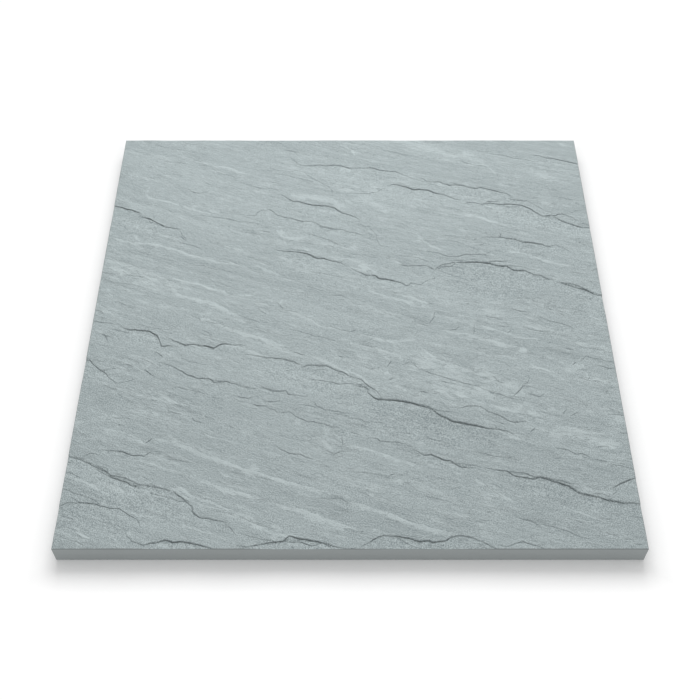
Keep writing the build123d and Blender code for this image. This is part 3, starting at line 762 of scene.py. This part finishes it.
shown = {
    "painted_ledge_shade": painted_ledge_shade, "before_ledge": before_ledge, "worn_and_highlit": worn_and_highlit, "before_worn_highlit_edge": before_worn_highlit_edge,
    "stained": stained, "scaly": scaly,
}
layers = [bm.verts.layers.float.new(name) for name in shown]
for i, vert in enumerate(bm.verts):
    vert.co.z = slab_high.z - depth[i]
    for layer, values in zip(layers, shown.values()):
        vert[layer] = values[i]

# The rubbed arris, the sawn edges and the bed
def drawn_out(bm, edges, side, height):
    """The rim carried on to a square of this half side, at a height or by a drop from where it is."""
    made = bmesh.ops.extrude_edge_only(bm, edges=edges)["geom"]
    rim = [part for part in made if isinstance(part, bmesh.types.BMVert)]
    for vert in rim:
        reached = max(abs(vert.co.x), abs(vert.co.y))
        vert.co.x, vert.co.y = (
            math.copysign(side, value) if abs(value) > reached - 1e-6 else value * side / reached
            for value in (vert.co.x, vert.co.y)
        )
        vert.co.z = height if height is not None else vert.co.z - arris
    return [part for part in made if isinstance(part, bmesh.types.BMEdge)]


rim = [edge for edge in bm.edges if edge.is_boundary]
for edge in rim:
    edge.smooth = False
riven_faces = set(bm.faces)
rim = drawn_out(bm, rim, half_side, None)
rim = drawn_out(bm, rim, half_side, arris)
rim = drawn_out(bm, rim, half_side - arris, 0.0)
bmesh.ops.contextual_create(bm, geom=rim)
for face in bm.faces:
    face.smooth = face in riven_faces
    face.material_index = 0 if face.smooth else 1
bmesh.ops.recalc_face_normals(bm, faces=bm.faces)
bmesh.ops.triangulate(bm, faces=bm.faces)


def stone(tree, dark, pale, tone, height, roughness, darkening):
    """The stone's own shader: a tone from 0, dark, to 1, pale, with fine relief in millimetres.
    The last argument, from 0 to 1, takes it towards near-black: painted shade in the riven face's clefts,
    and a darker band along the top of the sawn edges."""
    colour = tree.node("ShaderNodeMix", {"data_type": "RGBA"}, {0: tone, 6: dark, 7: pale}, 2)
    # Towards this near-black go the painted cleft shade and the darker top of the sawn edges
    colour = tree.node(
        "ShaderNodeMix",
        {"data_type": "RGBA"},
        {0: darkening, 6: colour, 7: (0.060, 0.075, 0.078, 1.0)},
        2,
    )
    bump = tree.node("ShaderNodeBump", {}, {"Height": height, "Distance": mm, "Strength": 1.0})
    shader = tree.node(
        "ShaderNodeBsdfPrincipled",
        {},
        {"Base Color": colour, "Roughness": roughness, "Normal": bump},
    )
    tree.node("ShaderNodeOutputMaterial", {}, {"Surface": shader})


def noise_of(tree, vector, detail=2.0, rough=0.5, warp=0.0):
    """Noise from about -1 to 1, with cells one unit of the vector wide."""
    inputs = {"Vector": vector, "Scale": 1.0, "Detail": detail, "Roughness": rough, "Distortion": warp}
    return (tree.node("ShaderNodeTexNoise", {}, inputs) - 0.5) * 2.0


def stretched(tree, x, y, z, cell_x, cell_y, seed):
    """Coordinates in which a cell of noise is cell_x by cell_y millimetres."""
    inputs = {"X": x / (cell_x * mm), "Y": y / (cell_y * mm), "Z": z / (5 * mm) + seed}
    return tree.node("ShaderNodeCombineXYZ", {}, inputs)


riven_stone, tree = new_material("riven_sandstone")
px, py, pz = place_of(tree)
painted_ledge_shade, before_ledge, worn_and_highlit, before_worn_highlit_edge, stained, scaly = (
    tree.node("ShaderNodeAttribute", {"attribute_name": name}, {}, "Fac") for name in shown
)
wander = noise_of(tree, stretched(tree, px, py, pz, 45, 45, 11.0), 3.0, 0.6)
across = across_bedding(px, py) + wander * 4.0 * mm
broad = noise_of(tree, stretched(tree, px, across, pz, 260, 60, 13.0), 1.0)
bands = noise_of(tree, stretched(tree, px, across, pz, 120, 8, 0.0), 2.0)
streaks = noise_of(tree, stretched(tree, px, across, pz, 40, 3.2, 7.0), 2.0, 0.6)
threads = noise_of(tree, stretched(tree, px, across, pz, 7, 1.1, 3.0), 2.0, 0.6)
mottle = noise_of(tree, stretched(tree, px, py, pz, 3.6, 3.0, 15.0), 2.0, 0.6)
grain = noise_of(tree, stretched(tree, px, py, pz, 1.05, 1.05, 5.0), 1.0, 0.7)
patches = noise_of(tree, stretched(tree, px, across, pz, 45, 12, 9.0), 4.0, 0.65)
ragged = noise_of(tree, stretched(tree, px, across, pz, 9, 4, 31.0), 4.0, 0.75)
rough = (patches * 2.2 + 0.35 + scaly).clamped()

# Each thin layer grows paler up to its edge, which faces the back, and ends there
count = across / (8 * mm) + 1.2 * bands + 0.25 * streaks
layer_edge = count.maths("FRACT", count) ** 3.0 * (0.5 + 1.8 * patches).clamped()
ridge = noise_of(tree, stretched(tree, px, across, pz, 17, 3.6, 21.0), 3.0, 0.65, 0.8)
squiggle = (1.0 - ridge.maths("ABSOLUTE", ridge) * 14.0).clamped() * rough
hair = noise_of(tree, stretched(tree, px, across, pz, 30, 4.5, 27.0), 2.0, 0.55, 0.4)
hair = (1.0 - hair.maths("ABSOLUTE", hair) * 16.0).clamped() * (streaks * 3.0 - 0.1).clamped()

# Plates of the last thin layer are left in places, each with its own tone
corner = stretched(tree, px + ragged * 2.5 * mm, across + ridge * 1.6 * mm, pz, 15, 5, 41.0)
plate = tree.node("ShaderNodeTexVoronoi", {}, {"Vector": corner, "Scale": 1.0}, "Color") - 0.5

# A worn, highlit edge and a paler bed end raggedly, where a scale of stone does
edge = before_worn_highlit_edge + 1.8 * ragged + 1.2 * plate
# The lip on each such edge and the shelf in front of it are painted paler: partly wear, and partly a painted
# highlight where the edge faces the lamp
lip = (1.0 - edge.maths("ABSOLUTE", edge) * 1.3).clamped() * worn_and_highlit
shelf = (edge * 1.5 + 0.5).clamped() * worn_and_highlit
wear_and_highlight = ((shelf - 0.24 + 0.6 * ragged + 0.5 * plate) * 6.0).clamped() * (0.4 + 0.6 * worn_and_highlit) + 0.5 * lip
scale = ((stained - 0.22 + 0.5 * ragged + 0.5 * plate) * 6.0).clamped() * 0.40 + 0.45 * stained
tone = 0.505 + 0.15 * broad + 0.16 * bands + 0.11 * streaks + 0.42 * threads + 0.05 * mottle + 1.60 * grain
tone = tone + 0.08 * (rough - 0.5) + 0.38 * plate * rough + 0.32 * layer_edge - 0.30 * squiggle - 0.42 * hair
# Just behind each ledge its brow is painted paler: fresh broken stone, and a painted highlight where it
# catches the lamp
brow = before_ledge + 1.6 + 0.5 * ragged
brow = (1.0 - brow.maths("ABSOLUTE", brow) * 0.8).clamped() * painted_ledge_shade
tone = (tone + 0.50 * wear_and_highlight + 0.48 * scale + 0.20 * brow + 0.10 * scaly).clamped()
scales = noise_of(tree, stretched(tree, px, across, pz, 10, 2.4, 2.0), 3.0, 0.6, 0.6)
height = scales * (0.06 + 0.17 * rough) + threads * 0.12 + mottle * 0.05 + grain * 0.17
height = height - squiggle * 0.16 - hair * 0.16 + layer_edge * 0.30
height = height + wear_and_highlight * 0.10 + scale * 0.10 + plate * rough * 0.25
# The cleft at each ledge's foot, wider for a stronger ledge, where the shade is painted in near-black
gap = before_ledge - 0.35 + 0.35 * ragged
cleft = (1.35 - gap.maths("ABSOLUTE", gap) * (2.9 - 1.5 * painted_ledge_shade)).clamped()
dark, pale = (0.225, 0.266, 0.275, 1.0), (0.520, 0.590, 0.597, 1.0)
stone(tree, dark, pale, tone, height, 0.86, cleft * painted_ledge_shade**0.7 * 0.80)

sawn_stone, tree = new_material("sawn_sandstone")
px, py, pz = place_of(tree)
grain = noise_of(tree, stretched(tree, px, py, pz * 5.0, 1.0, 1.0, 5.0), 3.0, 0.7)
strokes = noise_of(tree, stretched(tree, px + pz * 0.5, py + pz * 0.5, pz, 1.2, 1.2, 1.0), 2.0)
tone = (0.44 + 0.1 * grain + 0.06 * strokes).clamped()
dark, pale = (0.225, 0.247, 0.250, 1.0), (0.520, 0.561, 0.560, 1.0)
height = grain * 0.03 + strokes * 0.02
# The sawn edges are darker near their top, from 23.2 mm up
stone(tree, dark, pale, tone, height, 0.8 + 0.05 * grain, (pz / mm - 23.2).clamped() * 0.34)

slab = new_object("riven_slab", bm, riven_stone, sawn_stone)
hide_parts("paving_slab")
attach(slab, "root")
